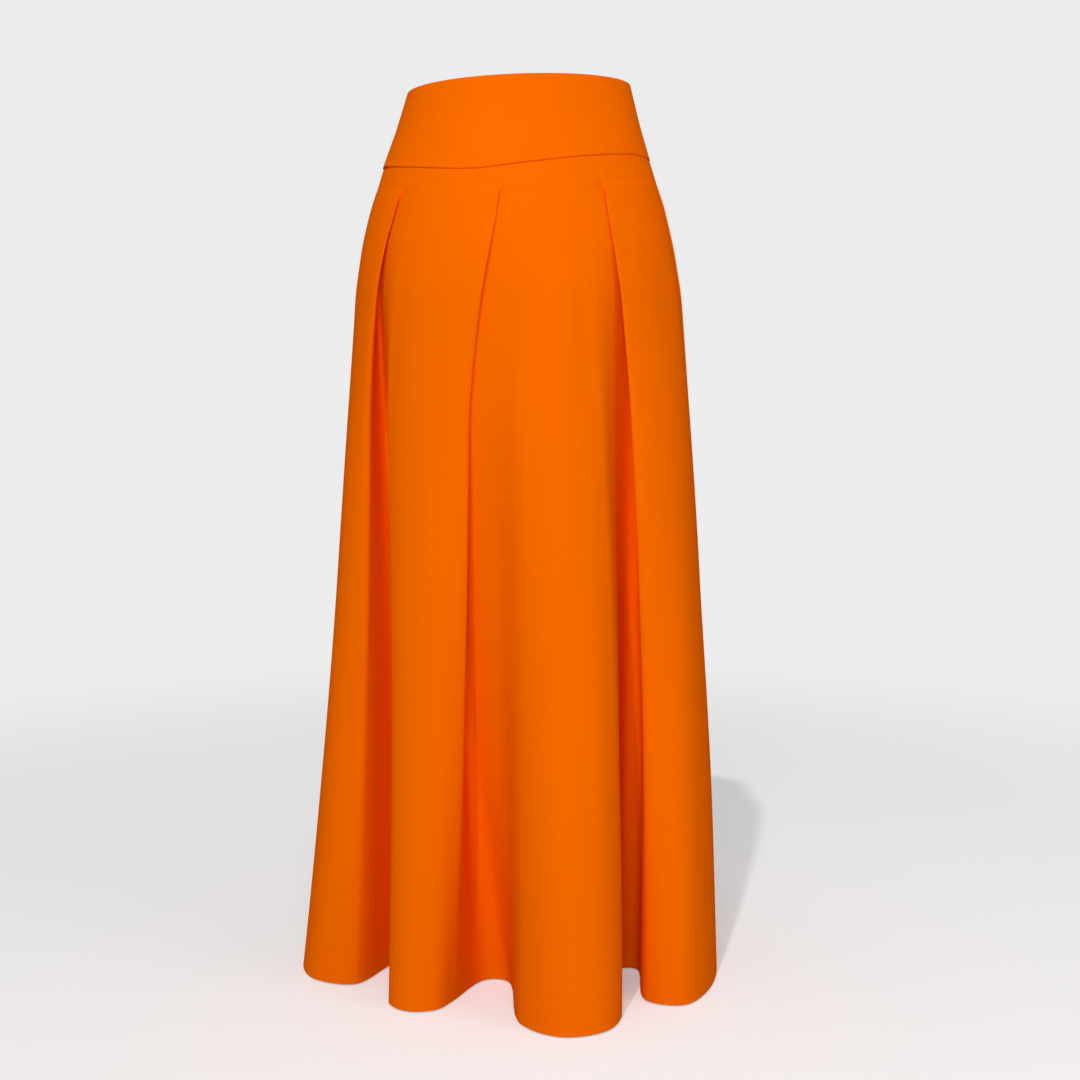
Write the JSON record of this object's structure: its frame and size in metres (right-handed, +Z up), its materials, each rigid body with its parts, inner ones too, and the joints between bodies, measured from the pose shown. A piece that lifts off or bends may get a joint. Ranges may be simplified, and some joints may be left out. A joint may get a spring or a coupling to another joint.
{
  "type": "pleated skirt",
  "caption": "Long high-waisted skirt of plain orange cloth with a shaped band, released knife pleats that open into deep folds, and a concealed side zip.",
  "frame": {"origin": "middle of the waist opening, on the level of the band's top edge at the centre front", "axes": "+Z up, the wearer faces -Y and the wearer's left side, with the zip, is +X"},
  "size_m": [0.4696, 0.4306, 0.9573],
  "materials": {
    "orange_cloth": "plain orange woven cloth with a soft, slightly lustrous face",
    "zip_tape": "fine woven tape dyed to match",
    "zip_metal": "small metal parts enamelled to match the cloth"
  },
  "bodies": {
    "skirt": {"front_band": "orange_cloth", "back_band": "orange_cloth", "front_panel": "orange_cloth", "back_panel": "orange_cloth", "zip_tape_front": "zip_tape", "zip_tape_back": "zip_tape", "zip_slider": "zip_metal"},
    "pull_tab": {"zip_pull": "zip_metal"}
  },
  "joints": [
    {"name": "pull_tab_swing", "type": "hinge", "parent": "skirt", "child": "pull_tab", "pos_m": [0.12515, 0, -0.003], "axis": [0, -1, 0], "range_deg": [0, 170]}
  ]
}
